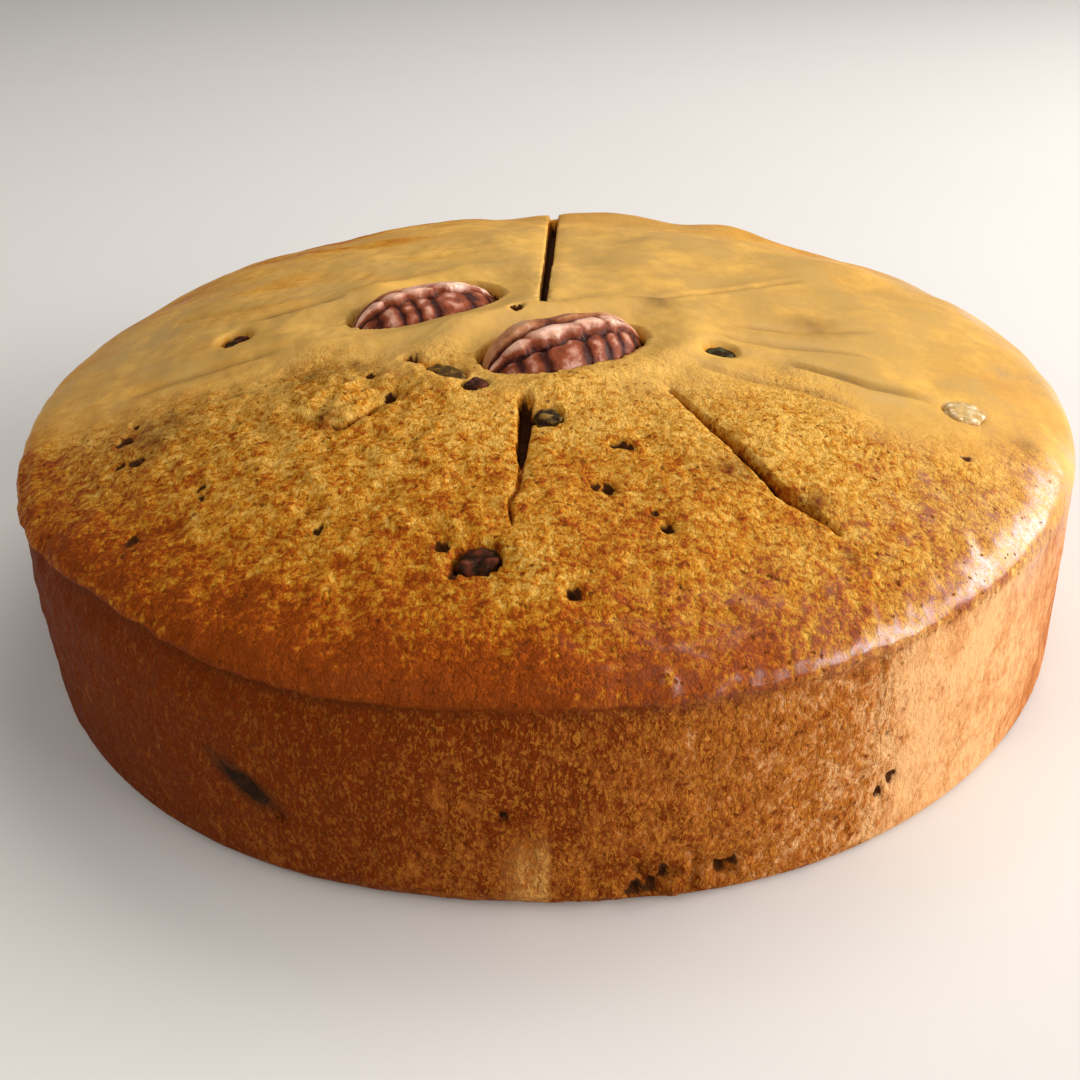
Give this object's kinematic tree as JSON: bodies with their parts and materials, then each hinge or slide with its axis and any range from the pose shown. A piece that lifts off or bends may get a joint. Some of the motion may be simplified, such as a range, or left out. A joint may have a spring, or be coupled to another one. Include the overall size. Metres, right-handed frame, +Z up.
{
  "type": "fruitcake",
  "caption": "Whole round fruitcake with a domed, knife-slit top, a low crease around its side, pecan halves set in its crown, and dried fruit showing in its crust.",
  "frame": {"origin": "centre of the flat base, on the surface the cake stands on", "axes": "+Z up through the crown; -Y is the side facing the viewer of the picture, +X its right"},
  "size_m": [0.1973, 0.1987, 0.0609],
  "materials": {
    "crust": "baked cake crust, golden to deep brown, finely pored, with a soft oily sheen",
    "pecan": "red-brown pecan skin with tan ridges and a soft gloss",
    "raisin": "dark amber to near-black wrinkled dried fruit, slightly glossy",
    "candied_peel": "pale translucent candied peel, shiny with sugar"
  },
  "bodies": {
    "root": {"cake": "crust", "pecan_left": "pecan", "pecan_right": "pecan", "raisin_1": "raisin", "raisin_2": "raisin", "raisin_3": "raisin", "raisin_4": "raisin", "raisin_5": "raisin", "raisin_6": "raisin", "date": "raisin", "peel": "candied_peel"}
  },
  "joints": []
}
